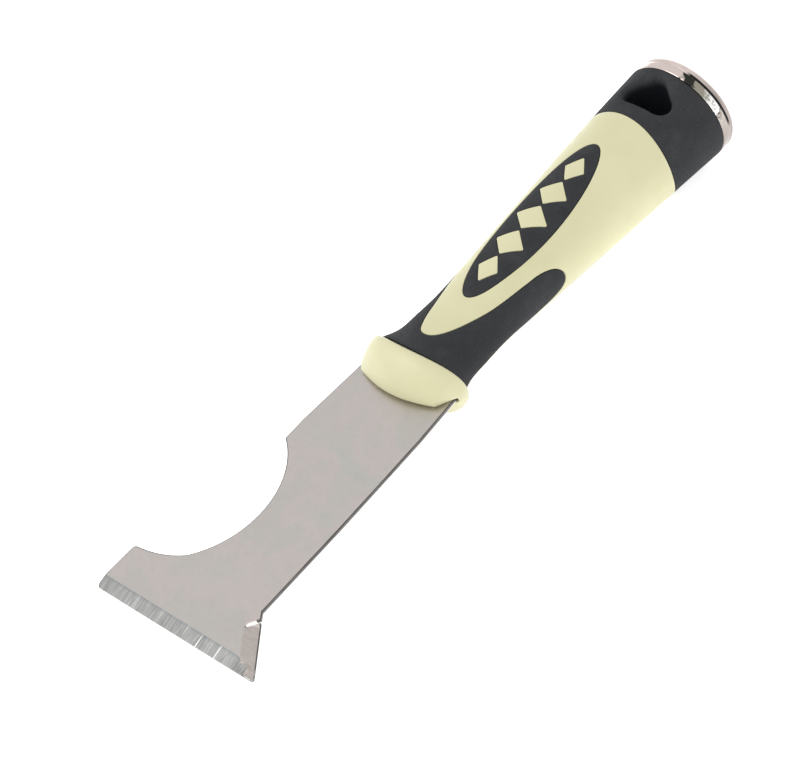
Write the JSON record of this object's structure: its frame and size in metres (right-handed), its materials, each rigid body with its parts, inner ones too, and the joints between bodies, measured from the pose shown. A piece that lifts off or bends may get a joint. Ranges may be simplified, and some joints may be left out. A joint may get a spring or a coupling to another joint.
{
  "type": "painters multi tool",
  "caption": "Stiff steel scraper blade with a pointed corner, nail slot and half-round cut-out, on a soft-grip handle with a hang hole and a metal hammer cap.",
  "frame": {"origin": "under the middle of the tool's length and width, level with its lowest point", "axes": "+X along the tool towards the scraping edge, +Y towards the sharpened point, +Z out of the front face"},
  "size_m": [0.216, 0.0596, 0.0316],
  "materials": {
    "blade_steel": "satin",
    "cream_plastic": "satin",
    "soft_grip": "fine matt texture",
    "plated_steel": "polished band and satin shoulder"
  },
  "bodies": {
    "root": {"blade": "blade_steel", "handle_core": "cream_plastic", "front_grip": "soft_grip", "rear_grip": "soft_grip", "front_inlay": "soft_grip", "back_inlay": "soft_grip", "hammer_cap": "plated_steel"}
  },
  "joints": []
}
